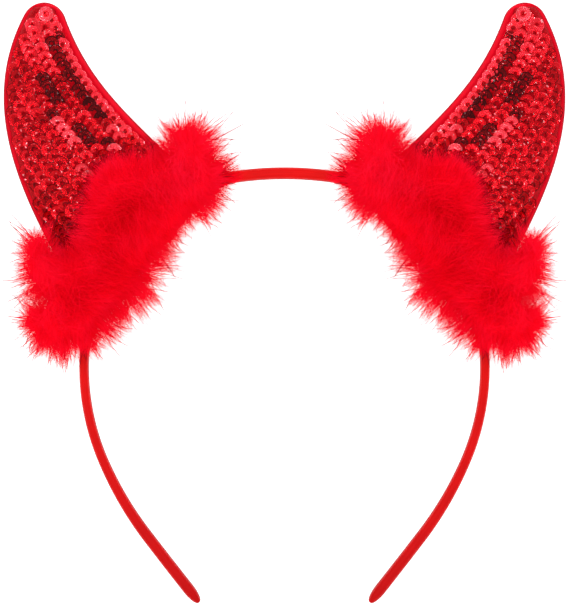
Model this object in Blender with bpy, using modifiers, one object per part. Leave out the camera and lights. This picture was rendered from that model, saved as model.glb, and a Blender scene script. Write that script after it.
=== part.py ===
"""Devil horns headband: a satin band, two stuffed sequin horns and two marabou trims.

The headband lies on its back. +Z is its front, +Y points from the band's tips to the
horns' tips, and +X is to the right as seen from the front. Metres throughout.
The right half is modelled. Horns and trims are mirrored, and the band is mirrored on itself.
"""
from math import acos, ceil, cos, degrees, pi, radians, sin, sqrt

import bmesh
import bpy
import numpy as np
from mathutils import Matrix, Vector

# Clearance that is left between touching pieces.
GAP = 0.0003

# Satin band. Its middle line is a chain of runs that starts at the crown.
BAND_LENGTH = 0.388
BAND_THICKNESS = 0.0041
BAND_DEPTH = 0.0080
BAND_TIP_ROUNDING = 0.0060
BAND_SECTION_POINTS = 16
BAND_SQUARENESS = 3.2
# run, share of half the band, turn in degrees, share of the thickness at its end
BAND_RUNS = (
    ("crown", 0.084, 8.0, 1.00),
    ("shoulder", 0.080, 41.5, 0.95),
    ("horn_seat", 0.255, 0.0, 0.90),
    ("temple", 0.093, 38.0, 0.80),
    ("upper_leg", 0.185, 25.5, 0.84),
    ("lower_leg", 0.156, 14.5, 0.96),
    ("end_leg", 0.147, 1.0, 0.98),
)

# Stuffed horns. The base follows the band, and the tip leans back over the crown.
HORN_MIDDLE = 0.0575
HORN_BASE = 0.0570
HORN_RISE = 0.0762
HORN_LEAN = 0.0372
HORN_TIP_RADIUS = 0.0076
HORN_PUFF = 0.0120
HORN_BASE_PUFF = 0.55
HORN_PUFF_RISE = 0.30
HORN_ROUNDNESS = 2.4
# edge, side of the base, angle and handle at the base, angle and handle at the tip;
# angles in degrees from the base towards the temple, handles as shares of the rise
HORN_EDGES = {
    "convex": (1.0, 110.0, 0.46, 168.0, 0.54),
    "concave": (-1.0, 99.0, 0.345, 120.0, 0.38),
}
HORN_ROWS = 13
HORN_TIP_ROWS = 4
HORN_RIM_ROWS = 3
HORN_COLUMNS = 10

# Satin rim that stays bare round the sequin cloth.
RIM_THICKNESS = 0.0020
RIM_CONCAVE = 0.0028
RIM_CONVEX = 0.0013
RIM_TIP = 0.0015

# Sequin cloth over the stuffing. It starts a little way up from the band.
SEQUIN_CLOTH = 0.0012
SEQUIN_START = 0.0040

# Marabou trim: a core glued over the band and the horn's base, with locks all over.
FUR_START = 0.0165
FUR_LENGTH = 0.0805
FUR_REACH = 0.0255
FUR_PILE = 0.0105
FUR_SQUARENESS = 2.3
FUR_STATIONS = 16
FUR_COLUMNS = 10
FUR_AXIS_OUT = 0.36
FUR_AXIS_UP = 0.34
LOCK_LENGTH = 0.0086
LOCK_WAIST = 0.62
LOCK_WAIST_PLACE = 0.50
LOCK_SWAY = 0.18
LOCK_END = 0.50
# share of the trim's length, reach outwards, height
FUR_SECTIONS = (
    (0.00, 0.46, 0.60),
    (0.05, 0.62, 0.75),
    (0.11, 0.74, 0.86),
    (0.20, 0.72, 0.94),
    (0.32, 0.90, 1.00),
    (0.45, 1.00, 1.00),
    (0.57, 0.86, 1.00),
    (0.67, 0.80, 0.98),
    (0.76, 0.92, 0.94),
    (0.84, 1.00, 0.88),
    (0.92, 0.94, 0.80),
    (0.97, 0.74, 0.68),
    (1.00, 0.48, 0.52),
)
# column of the trim from the head side over the front to the horn side: share of the lock's length
LOCK_COLUMNS = (0.70, 0.80, 0.75, 0.70, 0.70, 0.75, 0.85, 0.95, 1.00, 1.00)

# Depth below the floor to which the trim's cutters reach.
CUTTER_FOOT = 0.0030

COLOURS = {
    "band_satin": ((0.80, 0.016, 0.012), 0.38),
    "horn_satin": ((0.78, 0.006, 0.016), 0.45),
    "sequin_cloth": ((0.84, 0.030, 0.048), 0.22),
    "marabou": ((0.95, 0.004, 0.016), 0.85),
}


def clear_scene():
    """Remove every object that the file opens with."""
    for thing in list(bpy.data.objects):
        bpy.data.objects.remove(thing, do_unlink=True)


def make_collection(name):
    """New collection under the scene's own."""
    collection = bpy.data.collections.new(name)
    bpy.context.scene.collection.children.link(collection)
    return collection


def make_material(name):
    """Principled material with the colour and roughness of its row in COLOURS."""
    colour, roughness = COLOURS[name]
    material = bpy.data.materials.new(name)
    material.use_nodes = True
    shader = material.node_tree.nodes["Principled BSDF"]
    shader.inputs["Base Color"].default_value = (*colour, 1.0)
    shader.inputs["Roughness"].default_value = roughness
    shader.inputs["Metallic"].default_value = 0.0
    return material


def add_object(name, bm, collection, material=None):
    """Turn a bmesh into a named object with smooth faces and sharp corners."""
    mesh = bpy.data.meshes.new(name)
    bm.to_mesh(mesh)
    bm.free()
    mesh.shade_smooth()
    mesh.set_sharp_from_angle(angle=radians(40.0))
    if material:
        mesh.materials.append(material)
    thing = bpy.data.objects.new(name, mesh)
    collection.objects.link(thing)
    return thing


def applied_mesh(thing):
    """Mesh of an object with its modifiers applied."""
    bpy.context.view_layer.update()
    graph = bpy.context.evaluated_depsgraph_get()
    return bpy.data.meshes.new_from_object(thing.evaluated_get(graph))


def loft(rings, closed=True, caps=(True, True)):
    """Quads between rings of equally many points, with a flat face on each capped end."""
    bm = bmesh.new()
    rows = [[bm.verts.new(point) for point in ring] for ring in rings]
    count = len(rings[0])
    for near, far in zip(rows, rows[1:]):
        for i in range(count if closed else count - 1):
            j = (i + 1) % count
            bm.faces.new((near[i], near[j], far[j], far[i]))
    if caps[0]:
        bm.faces.new(rows[0][::-1])
    if caps[1]:
        bm.faces.new(rows[-1])
    return bm


# The band's middle line

def band_frame(distance):
    """Place and heading on the middle line, at a distance from the crown.

    Each run is a straight line or an arc. On an arc of radius r that turns from heading
    a to b, x grows by r (sin b - sin a) and y by r (cos b - cos a).
    """
    x, y, heading = 0.0, 0.0, 0.0
    left = distance
    for run, share, turn, thickness in BAND_RUNS:
        length = share * BAND_LENGTH / 2
        last = run == BAND_RUNS[-1][0]
        step = left if last else min(left, length)
        bend = radians(turn) * step / length
        if abs(bend) < 1e-6:
            x += step * cos(heading)
            y -= step * sin(heading)
        else:
            radius = step / bend
            x += radius * (sin(heading + bend) - sin(heading))
            y += radius * (cos(heading + bend) - cos(heading))
        heading += bend
        left -= step
        if left <= 0.0:
            break
    return x, y, heading


def beside_band(distance, outward):
    """Plan point at a distance from the crown and a step outwards from the middle line."""
    x, y, heading = band_frame(distance)
    return np.array((x + outward * sin(heading), y + outward * cos(heading)))


def band_half_thickness(distance):
    """Half the band's thickness, which follows the table's shares along the runs."""
    ends = np.cumsum([0.0] + [row[1] for row in BAND_RUNS]) * BAND_LENGTH / 2
    shares = [BAND_RUNS[0][3]] + [row[3] for row in BAND_RUNS]
    return BAND_THICKNESS / 2 * float(np.interp(distance, ends, shares))


def band_stations(start, end):
    """Distances along the band: few on straight runs, about 7 degrees apart on arcs."""
    places = [start]
    edge = 0.0
    for run, share, turn, thickness in BAND_RUNS:
        length = share * BAND_LENGTH / 2
        steps = 2 + ceil(abs(turn) / 7.0)
        places += [edge + length * i / steps for i in range(1, steps + 1)]
        edge += length
    places.append(end)
    spacing = BAND_THICKNESS / 4
    inside = sorted(p for p in places if start + spacing < p < end - spacing)
    return [start] + inside + [end]


def band_ring(distance, half_thickness, half_depth):
    """Rounded oblong section: a superellipse with its flats at the thickness and the depth."""
    ring = []
    power = 2.0 / BAND_SQUARENESS
    flat = cos(pi / BAND_SECTION_POINTS) ** power
    for i in range(BAND_SECTION_POINTS):
        angle = 2 * pi * (i + 0.5) / BAND_SECTION_POINTS
        across = half_thickness / flat * np.sign(cos(angle)) * abs(cos(angle)) ** power
        height = half_depth / flat * np.sign(sin(angle)) * abs(sin(angle)) ** power
        x, y = beside_band(distance, across)
        ring.append((x, y, BAND_DEPTH / 2 + height))
    return ring


def satin_band(collection, material):
    """Right half of the band with a rounded tip, mirrored at the crown."""
    half = BAND_LENGTH / 2
    rings = []
    for distance in band_stations(0.0, half - BAND_TIP_ROUNDING):
        rings.append(band_ring(distance, band_half_thickness(distance), BAND_DEPTH / 2))
    for i in range(1, 5):
        angle = radians(85.0) * i / 4
        distance = half - BAND_TIP_ROUNDING * (1 - sin(angle))
        thin = band_half_thickness(distance) * (0.15 + 0.85 * cos(angle))
        shallow = BAND_DEPTH / 2 * (0.70 + 0.30 * cos(angle))
        rings.append(band_ring(distance, thin, shallow))
    band = add_object("satin_band", loft(rings, caps=(False, True)), collection, material)
    mirror = band.modifiers.new("other_half", "MIRROR")
    mirror.use_axis = (True, False, False)
    mirror.merge_threshold = 0.0001
    return band


def band_groove(collection):
    """Cutter for the trim: the band with its clearance, open towards the floor."""
    rings = []
    for distance in band_stations(0.0, FUR_START + FUR_LENGTH + 4 * LOCK_LENGTH):
        side = band_half_thickness(distance) + GAP
        corners = ((side, -CUTTER_FOOT), (side, BAND_DEPTH + GAP),
                   (-side, BAND_DEPTH + GAP), (-side, -CUTTER_FOOT))
        rings.append([(*beside_band(distance, across), height) for across, height in corners])
    return add_cutter("band_groove", loft(rings), collection)


# The horns

def horn_axes():
    """Middle of the horn's base line, its direction towards the temple, and outwards."""
    crown_side = horn_base_point(1.0)
    temple_side = horn_base_point(-1.0)
    along = temple_side - crown_side
    along /= np.linalg.norm(along)
    outward = np.array((-along[1], along[0]))
    return (crown_side + temple_side) / 2, along, outward


def horn_base_point(side):
    """Point of the base beside the band: -1 at the convex edge and 1 at the concave one."""
    distance = HORN_MIDDLE - side * HORN_BASE / 2
    return beside_band(distance, band_half_thickness(distance) + GAP)


def polar(angle):
    """Unit vector at an angle in degrees."""
    return np.array((cos(radians(angle)), sin(radians(angle))))


def tip_angles(edge):
    """Angles on the tip's circle where an edge joins it, and where its top is."""
    joins = {name: row[3] - 90.0 * row[0] for name, row in HORN_EDGES.items()}
    return joins[edge], sum(joins.values()) / len(joins)


def dome_end():
    """Share of the tip's arc at which the stuffing ends, one rim below the top."""
    join, top = tip_angles("convex")
    rim = min(RIM_TIP + SEQUIN_CLOTH + GAP, HORN_TIP_RADIUS)
    return 1.0 - degrees(acos(1.0 - rim / HORN_TIP_RADIUS)) / (top - join)


def edge_points(edge, steps, arcs):
    """Plan points of one edge: a cubic Bezier up to the tip, then an arc of its circle."""
    side, base_angle, base_handle, tip_angle, tip_handle = HORN_EDGES[edge]
    middle, along, outward = horn_axes()
    corner = horn_base_point(-side)
    start = np.array(((corner - middle) @ along, (corner - middle) @ outward))
    centre = np.array((-HORN_LEAN, HORN_RISE))
    join, top = tip_angles(edge)
    end = centre + HORN_TIP_RADIUS * polar(join)
    first = start + base_handle * HORN_RISE * polar(base_angle)
    second = end - tip_handle * HORN_RISE * polar(tip_angle)
    points = []
    for t in steps:
        points.append((1 - t) ** 3 * start + 3 * (1 - t) ** 2 * t * first
                      + 3 * (1 - t) * t ** 2 * second + t ** 3 * end)
    for share in arcs:
        points.append(centre + HORN_TIP_RADIUS * polar(join + (top - join) * share))
    return [middle + p[0] * along + p[1] * outward for p in points]


def horn_rows():
    """Rows across the horn: both edges, how far the base's bend reaches, and the puff."""
    steps = [i / HORN_ROWS for i in range(HORN_ROWS + 1)]
    end = dome_end()
    domes = [end * sin(pi / 2 * i / HORN_TIP_ROWS) for i in range(1, HORN_TIP_ROWS + 1)]
    rims = [end + (0.93 - end) * i / HORN_RIM_ROWS for i in range(1, HORN_RIM_ROWS + 1)]
    convex = edge_points("convex", steps, domes + rims)
    concave = edge_points("concave", steps, domes + rims)
    widest = np.linalg.norm(convex[0] - concave[0])
    rows = []
    for i, (left, right) in enumerate(zip(convex, concave)):
        t = min(1.0, i / HORN_ROWS)
        width = np.linalg.norm(left - right)
        ramp = min(1.0, t / HORN_PUFF_RISE)
        base = HORN_BASE_PUFF + (1 - HORN_BASE_PUFF) * ramp * ramp * (3 - 2 * ramp)
        past = (i - HORN_ROWS) / HORN_TIP_ROWS
        fade = sqrt(max(0.0, 1.0 - max(0.0, past) ** 2))
        puff = HORN_PUFF * base * fade * (min(width, widest) / widest) ** 0.7
        rows.append((left, right, (1 - t) ** 2, puff, width))
    return rows


def horn_front(row, swell=0.0):
    """Points of one row, from the convex edge over rim, stuffing and rim to the concave one.

    The stuffing's height over the rim is puff (1 - |p| ^ roundness) ^ 0.5, with p from
    -1 to 1 between the two rims. A cutter is the same horn with a swell: its edges and its
    front lie that much further out, and its base reaches into the band's groove.
    """
    left, right, bend, puff, width = row
    apart = (left - right) / width * swell
    left, right = left + apart, right - apart
    convex_rim = min(0.3, (RIM_CONVEX + SEQUIN_CLOTH + GAP - swell / 2) / width)
    concave_rim = min(0.3, (RIM_CONCAVE + SEQUIN_CLOTH + GAP - swell / 2) / width)
    across = [(0.0, 0.0)]
    for k in range(HORN_COLUMNS + 1):
        p = -cos(pi * k / HORN_COLUMNS)
        share = convex_rim + (1 - convex_rim - concave_rim) * (p + 1) / 2
        across.append((share, puff * max(0.0, 1 - abs(p) ** HORN_ROUNDNESS) ** 0.5))
    across.append((1.0, 0.0))
    points = []
    for share, rise in across:
        chord = (1 - share) * horn_base_point(-1.0) + share * horn_base_point(1.0)
        bow = horn_base_point(2 * share - 1) - chord
        inwards = -swell * horn_axes()[2] if bend == 1.0 else 0.0
        x, y = (1 - share) * left + share * right + bend * bow + inwards
        points.append((x, y, RIM_THICKNESS + rise + swell))
    return points


def horn_solid(swell=0.0, back_height=0.0):
    """Closed horn: the front's grid, a wall down to its back all round, and a flat back."""
    grid = [horn_front(row, swell) for row in horn_rows()]
    bm = loft(grid, closed=False, caps=(False, False))
    border = [edge for edge in bm.edges if edge.is_boundary]
    grown = bmesh.ops.extrude_edge_only(bm, edges=border)["geom"]
    for item in grown:
        if isinstance(item, bmesh.types.BMVert):
            item.co.z = back_height
    back = [edge for edge in bm.edges if edge.is_boundary]
    bmesh.ops.edgeloop_fill(bm, edges=back)
    bmesh.ops.recalc_face_normals(bm, faces=bm.faces[:])
    return bm


def horn_pad(collection, material):
    """Stuffed horn with a flat back and a thin rim."""
    return add_object("horn_pad_right", horn_solid(), collection, material)


def horn_slot(collection):
    """Cutter for the trim: the horn and its sequin cloth with their clearance."""
    swell = SEQUIN_CLOTH + 3 * GAP
    return add_cutter("horn_slot", horn_solid(swell, -CUTTER_FOOT), collection)


def sequin_front(collection, material):
    """Cloth shell over the stuffing, between the rims, a clearance above the pad."""
    rows = horn_rows()[:HORN_ROWS + HORN_TIP_ROWS + 1]
    base = rows[0]
    middle = (base[0] + base[1]) / 2
    kept = [row for row in rows if np.linalg.norm((row[0] + row[1]) / 2 - middle) > SEQUIN_START]
    grid = [[(x, y, z + GAP) for x, y, z in horn_front(row)[1:-1]] for row in kept]
    bm = loft(grid, closed=False, caps=(False, False))
    bmesh.ops.recalc_face_normals(bm, faces=bm.faces[:])
    if sum(face.normal.z for face in bm.faces) < 0.0:
        bmesh.ops.reverse_faces(bm, faces=bm.faces[:])
    front = add_object("sequin_front_right", bm, collection, material)
    lift = front.modifiers.new("lift", "DISPLACE")
    lift.strength = GAP
    lift.mid_level = 0.0
    wall = front.modifiers.new("cloth", "SOLIDIFY")
    wall.thickness = SEQUIN_CLOTH
    wall.offset = 1.0
    return front


# The marabou trims

def fur_height():
    """Height of the trim: the horn's full thickness and the pile over it."""
    return RIM_THICKNESS + HORN_PUFF + SEQUIN_CLOTH + FUR_PILE


def fur_size(share):
    """Reach outwards from the band's middle line and height, at a share of the trim."""
    shares, reaches, heights = zip(*FUR_SECTIONS)
    reach = FUR_REACH * float(np.interp(share, shares, reaches))
    height = fur_height() * float(np.interp(share, shares, heights))
    return reach, height


def fur_ring(share):
    """Section of the core: half a superellipse from the band's head side to its reach."""
    reach, height = fur_size(share)
    distance = FUR_START + FUR_LENGTH * share
    inner = -band_half_thickness(distance)
    ring = []
    for i in range(FUR_COLUMNS + 1):
        angle = pi * (1 - i / FUR_COLUMNS)
        across = np.sign(cos(angle)) * abs(cos(angle)) ** (2 / FUR_SQUARENESS)
        up = abs(sin(angle)) ** (2 / FUR_SQUARENESS)
        x, y = beside_band(distance, (inner + reach) / 2 + (reach - inner) / 2 * across)
        ring.append((x, y, height * up))
    return ring


def sway(row, column):
    """Small steady scatter between -1 and 1 that differs from lock to lock."""
    return sin(2.4 * row + 1.7 * column) * cos(1.3 * row - 0.8 * column)


def lock_travel(face, row, column):
    """How far a lock of this face reaches: away from the trim's own axis, with some sway."""
    length = LOCK_LENGTH * LOCK_COLUMNS[column] * (0.85 + 0.3 * abs(sway(column, row)))
    share = (row + 0.5) / FUR_STATIONS
    if not 0.0 < share < 1.0:
        length *= LOCK_END
    reach, height = fur_size(share)
    distance = FUR_START + FUR_LENGTH * share
    axis = Vector((*beside_band(distance, reach * FUR_AXIS_OUT), height * FUR_AXIS_UP))
    direction = (face.calc_center_median() - axis).normalized() + face.normal * 0.5
    heading = band_frame(distance)[2]
    direction += Vector((cos(heading), -sin(heading), 0.0)) * LOCK_SWAY * sway(row, column)
    return direction.normalized() * length


def grow_lock(bm, face, travel):
    """Pull a face out into a tapered lock: a waist, then a point."""
    waist = bmesh.ops.extrude_discrete_faces(bm, faces=[face])["faces"][0]
    middle = waist.calc_center_median()
    for vert in waist.verts:
        vert.co = middle + (vert.co - middle) * LOCK_WAIST + travel * LOCK_WAIST_PLACE
        vert.co.z = max(vert.co.z, 0.0)
    point = bmesh.ops.poke(bm, faces=[waist])["verts"][0]
    point.co = middle + travel
    point.co.z = max(point.co.z, LOCK_LENGTH / 8)


def fur_core():
    """Core of the trim with its locks, before the band and the horn are cut out of it."""
    rings = [fur_ring(i / FUR_STATIONS) for i in range(FUR_STATIONS + 1)]
    bm = loft(rings, closed=False, caps=(False, False))
    bm.faces.ensure_lookup_table()
    places = [(face, i // FUR_COLUMNS, i % FUR_COLUMNS) for i, face in enumerate(bm.faces)]
    half = FUR_COLUMNS // 2
    rows = [bm.verts[:FUR_COLUMNS + 1], bm.verts[-FUR_COLUMNS - 1:]]
    for row, (verts, number) in enumerate(zip(rows, (-1, FUR_STATIONS))):
        for i in range(half):
            corners = [verts[i], verts[i + 1], verts[-i - 2], verts[-i - 1]]
            corners = list(dict.fromkeys(corners))
            face = bm.faces.new(corners if row == 0 else corners[::-1])
            if 0 < i < half - 1:
                places.append((face, number, i))
    border = [edge for edge in bm.edges if edge.is_boundary]
    floor = bmesh.ops.contextual_create(bm, geom=border)["faces"]
    bmesh.ops.triangulate(bm, faces=floor)
    bmesh.ops.recalc_face_normals(bm, faces=bm.faces[:])
    bm.normal_update()
    for face, row, column in places:
        grow_lock(bm, face, lock_travel(face, row, column))
    return bm


def keep_largest(mesh):
    """Delete the loose crumbs that a cut leaves beside the main body."""
    bm = bmesh.new()
    bm.from_mesh(mesh)
    left = set(bm.verts)
    bodies = []
    while left:
        queue = [left.pop()]
        body = set(queue)
        while queue:
            vert = queue.pop()
            for edge in vert.link_edges:
                other = edge.other_vert(vert)
                if other in left:
                    left.discard(other)
                    body.add(other)
                    queue.append(other)
        bodies.append(body)
    bodies.sort(key=len)
    crumbs = [vert for body in bodies[:-1] for vert in body]
    bmesh.ops.delete(bm, geom=crumbs, context="VERTS")
    bm.to_mesh(mesh)
    bm.free()


def marabou_trim(collection, cutters, material):
    """Fur core and locks with the band's groove and the horn's slot cut out of it."""
    rough = add_object("trim_uncut", fur_core(), cutters.pop("collection"))
    for name, cutter in cutters.items():
        cut = rough.modifiers.new(name, "BOOLEAN")
        cut.operation = "DIFFERENCE"
        cut.solver = "EXACT"
        cut.object = cutter
    mesh = applied_mesh(rough)
    bpy.data.objects.remove(rough, do_unlink=True)
    keep_largest(mesh)
    mesh.name = "marabou_trim_right"
    mesh.materials.clear()
    mesh.materials.append(material)
    trim = bpy.data.objects.new("marabou_trim_right", mesh)
    collection.objects.link(trim)
    return trim


def add_cutter(name, bm, collection):
    """Guide solid that is only cut with: hidden in renders and drawn as wire."""
    bmesh.ops.recalc_face_normals(bm, faces=bm.faces[:])
    cutter = add_object(name, bm, collection)
    cutter.hide_render = True
    cutter.display_type = "WIRE"
    return cutter


def mirrored(thing, name, collection):
    """Copy of a right-hand piece on the left, with its modifiers applied."""
    mesh = applied_mesh(thing)
    mesh.name = name
    mesh.transform(Matrix.Scale(-1.0, 4, (1.0, 0.0, 0.0)))
    mesh.flip_normals()
    copy = bpy.data.objects.new(name, mesh)
    collection.objects.link(copy)
    return copy


def centre_on_floor(things):
    """Parent the pieces to an empty that moves the middle of their outline to the origin."""
    bpy.context.view_layer.update()
    graph = bpy.context.evaluated_depsgraph_get()
    corners = [corner for thing in things for corner in thing.evaluated_get(graph).bound_box]
    low = np.min(corners, axis=0)
    high = np.max(corners, axis=0)
    middle = bpy.data.objects.new("headband_middle", None)
    bpy.context.scene.collection.objects.link(middle)
    for thing in things:
        thing.parent = middle
    middle.location = (0.0, -(low[1] + high[1]) / 2, 0.0)


def main():
    clear_scene()
    parts = make_collection("devil_horns_headband")
    guides = make_collection("cutters")
    materials = {name: make_material(name) for name in COLOURS}
    band = satin_band(parts, materials["band_satin"])
    pad = horn_pad(parts, materials["horn_satin"])
    front = sequin_front(parts, materials["sequin_cloth"])
    cutters = {"collection": guides, "groove": band_groove(guides), "slot": horn_slot(guides)}
    trim = marabou_trim(parts, cutters, materials["marabou"])
    things = [band, pad, front, trim]
    for thing in (pad, front, trim):
        things.append(mirrored(thing, thing.name.replace("right", "left"), parts))
    centre_on_floor(things)


main()
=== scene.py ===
# %% [markdown]
# # Devil horns headband
#
# A springy hoop in red satin ribbon carries two stuffed horns with sequin fronts, and red
# marabou down is wound round the foot of each horn. It lies on its back on a pale floor,
# and the camera looks straight down on it: +Z is the front, +Y points at the horns' tips
# and +X to the right. The CAD model gives the main sizes. This script dresses it in
# surfaces that are worked out with numpy: the right half first, and a mirror of it on the
# left.

# %% Load the CAD model as a fixed frame
import math

import bpy
import numpy as np
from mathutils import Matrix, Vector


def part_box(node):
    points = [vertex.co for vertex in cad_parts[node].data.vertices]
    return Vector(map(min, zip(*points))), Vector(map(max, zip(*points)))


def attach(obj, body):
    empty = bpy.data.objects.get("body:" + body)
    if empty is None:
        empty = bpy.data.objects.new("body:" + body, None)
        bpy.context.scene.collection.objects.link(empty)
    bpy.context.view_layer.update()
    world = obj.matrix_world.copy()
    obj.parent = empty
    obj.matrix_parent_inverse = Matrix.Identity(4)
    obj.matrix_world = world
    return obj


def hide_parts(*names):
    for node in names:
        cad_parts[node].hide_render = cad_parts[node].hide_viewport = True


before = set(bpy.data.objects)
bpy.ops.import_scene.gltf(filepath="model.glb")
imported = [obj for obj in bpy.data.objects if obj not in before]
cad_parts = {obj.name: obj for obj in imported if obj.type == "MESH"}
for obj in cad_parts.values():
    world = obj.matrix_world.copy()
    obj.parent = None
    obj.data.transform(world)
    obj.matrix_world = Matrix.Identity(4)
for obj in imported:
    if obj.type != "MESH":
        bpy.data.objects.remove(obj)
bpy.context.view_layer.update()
print("nodes:", sorted(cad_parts))

# %% [markdown]
# ## Camera
#
# A shop photograph of a flat thing is taken from far off with a long lens, so that nothing
# in it looks nearer than the rest. The picture's height is known in millimetres on the
# headband, which fixes the distance for any lens.

# %% The camera straight above the headband
MM = 0.001
PHOTO_HEIGHT = 605
PIXEL_SIZE = 0.34 * MM
LENS = 250.0
SENSOR_HEIGHT = 24.0
FOCUS_HEIGHT = 8 * MM

seen_height = PHOTO_HEIGHT * PIXEL_SIZE
camera_data = bpy.data.cameras.new("camera")
camera_data.lens = LENS
camera_data.sensor_fit = "VERTICAL"
camera_data.sensor_height = SENSOR_HEIGHT
camera = bpy.data.objects.new("camera", camera_data)
camera.location = (0.0, 0.0, FOCUS_HEIGHT + seen_height * LENS / SENSOR_HEIGHT)
bpy.context.scene.collection.objects.link(camera)
bpy.context.scene.camera = camera
print("camera height in metres:", round(camera.location.z, 3))

# %% [markdown]
# ## Light
#
# The photograph is lit evenly from all round against white, and only the sequins throw
# back small bright points. A white sky does the even part. Six small lamps add little to
# it, but shiny things mirror them.

# %% White sky and small lamps
SKY = 0.80
LAMP_SIZE = 0.08
LAMP_POWER = 0.8
LAMP_DISTANCE = 1.1
# lamps as compass direction and height above the floor, in degrees
LAMPS = ((125.0, 62.0), (40.0, 55.0), (215.0, 66.0), (-50.0, 58.0), (170.0, 76.0), (80.0, 72.0))

world = bpy.data.worlds.new("white_sky")
world.use_nodes = True
world.node_tree.nodes["Background"].inputs["Color"].default_value = (1.0, 1.0, 1.0, 1.0)
world.node_tree.nodes["Background"].inputs["Strength"].default_value = SKY
bpy.context.scene.world = world
bpy.context.scene.view_settings.view_transform = "Standard"
for number, (compass, height) in enumerate(LAMPS):
    lamp_data = bpy.data.lights.new(f"lamp_{number}", "AREA")
    lamp_data.size = LAMP_SIZE
    lamp_data.energy = LAMP_POWER
    lamp = bpy.data.objects.new(f"lamp_{number}", lamp_data)
    turn, rise = math.radians(compass), math.radians(height)
    lamp.location = (
        LAMP_DISTANCE * math.cos(rise) * math.cos(turn),
        LAMP_DISTANCE * math.cos(rise) * math.sin(turn),
        LAMP_DISTANCE * math.sin(rise),
    )
    lamp.rotation_euler = (math.pi / 2 - rise, 0.0, turn + math.pi / 2)
    bpy.context.scene.collection.objects.link(lamp)
print("lamps:", len(LAMPS))

# %% [markdown]
# ## Shader maths
#
# A finish is easier to read as a formula than as a tangle of nodes. `Wire` stands for one
# node's output, and arithmetic on it adds Math nodes. `Finish` is one material: its method
# `node` adds any other node, and `paint` feeds its shader.

# %% Wire and Finish
class Wire:
    """An output socket. Arithmetic on it adds Math nodes to its material."""

    def __init__(self, finish, socket):
        self.finish = finish
        self.socket = socket

    def math(self, operation, first, second):
        settings = {"operation": operation}
        return self.finish.node("ShaderNodeMath", settings, {0: first, 1: second})

    def __add__(self, other):
        return self.math("ADD", self, other)

    def __sub__(self, other):
        return self.math("SUBTRACT", self, other)

    def __rsub__(self, other):
        return self.math("SUBTRACT", other, self)

    def __mul__(self, other):
        return self.math("MULTIPLY", self, other)

    __rmul__ = __mul__


class Finish:
    """A material with a Principled shader, and one method that adds nodes to it."""

    def __init__(self, name, roughness, **constants):
        self.material = bpy.data.materials.new(name)
        self.material.use_nodes = True
        self.tree = self.material.node_tree
        self.shader = self.tree.nodes["Principled BSDF"]
        self.paint(Roughness=roughness, **constants)

    def paint(self, **values):
        """Feed the shader's inputs. An underscore stands for the space in an input's name."""
        for name, value in values.items():
            self.feed(self.shader.inputs[name.replace("_", " ")], value)

    def feed(self, socket, value):
        """Link a wire to a socket, or write a number or colour into it."""
        if isinstance(value, Wire):
            self.tree.links.new(value.socket, socket)
        else:
            socket.default_value = value

    def node(self, kind, settings, inputs, output=0):
        """Add a node: its settings first, then what its sockets get."""
        made = self.tree.nodes.new(kind)
        for setting, value in settings.items():
            setattr(made, setting, value)
        for socket, value in inputs.items():
            self.feed(made.inputs[socket], value)
        return Wire(self, made.outputs[output])

    def place(self):
        """Object coordinates, in metres."""
        return self.node("ShaderNodeTexCoord", {}, {}, "Object")

    def mark(self, name):
        """A number that the mesh carries at each point."""
        return self.node("ShaderNodeAttribute", {"attribute_name": name}, {}, "Fac")

    def noise(self, size, detail=2.0, stretch=(1.0, 1.0, 1.0), vector=None):
        """Noise from 0 to 1 with spots of a size in metres, drawn out along an axis."""
        scale = tuple(1.0 / part for part in stretch)
        vector = vector or self.place()
        drawn = self.node("ShaderNodeMapping", {}, {"Vector": vector, "Scale": scale})
        inputs = {"Vector": drawn, "Scale": 1.0 / size, "Detail": detail}
        return self.node("ShaderNodeTexNoise", {}, inputs)

    def smooth(self, value, low, high):
        """Soft step that is 0 below low and 1 above high."""
        inputs = {"Value": value, "From Min": low, "From Max": high}
        settings = {"interpolation_type": "SMOOTHSTEP"}
        return self.node("ShaderNodeMapRange", settings, inputs)

    def mix(self, share, first, second):
        """Colour between first and second."""
        colours = {0: share, 6: first, 7: second}
        return self.node("ShaderNodeMix", {"data_type": "RGBA"}, colours, 2)

    def bump(self, height, distance, strength):
        """Feed the shader's normal with a height map whose peaks are a distance high."""
        inputs = {"Height": height, "Distance": distance, "Strength": strength}
        self.paint(Normal=self.node("ShaderNodeBump", {}, inputs))


def dye(red, green, blue):
    """Opaque colour from linear red, green and blue."""
    return (red, green, blue, 1.0)


# %% [markdown]
# ## Meshes from arrays
#
# Every surface below is a grid of points, worked out as one array. The quads between them
# follow from the grid's numbers alone. A mirrored piece has its faces turned round too, so
# that they still point outwards.

# %% Grids, pieces and the mirror
def grid_corners(rows, columns, around=False):
    """Row and column of every quad's corners. With around, the last column meets the first."""
    i, j = np.meshgrid(np.arange(rows - 1), np.arange(columns - (not around)), indexing="ij")
    row = np.stack((i, i, i + 1, i + 1), axis=-1)
    column = np.stack((j, j + 1, j + 1, j), axis=-1)
    return row.reshape(-1, 4), column.reshape(-1, 4)


def grid_faces(rows, columns, around=False):
    """Quads of a grid whose point in row i and column j has the number i * columns + j."""
    row, column = grid_corners(rows, columns, around)
    return row * columns + column % columns


def tube_faces(rows, columns, way=1):
    """Faces of a grid that goes round, with a cap at either end. way -1 turns them round."""
    ring = np.arange(columns)[None, :]
    faces = [grid_faces(rows, columns, around=True), ring[:, ::-1], (rows - 1) * columns + ring]
    return [group[:, ::way] for group in faces]


def with_height(plan, height):
    """Points from plan places and heights."""
    return np.concatenate((plan, height[..., None]), axis=-1)


def squared_round(angle, squareness):
    """A superellipse: the cosine and the sine, each to the power 2 / squareness."""
    power = 2.0 / squareness
    return [np.sign(side) * np.abs(side) ** power for side in (np.cos(angle), np.sin(angle))]


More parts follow.
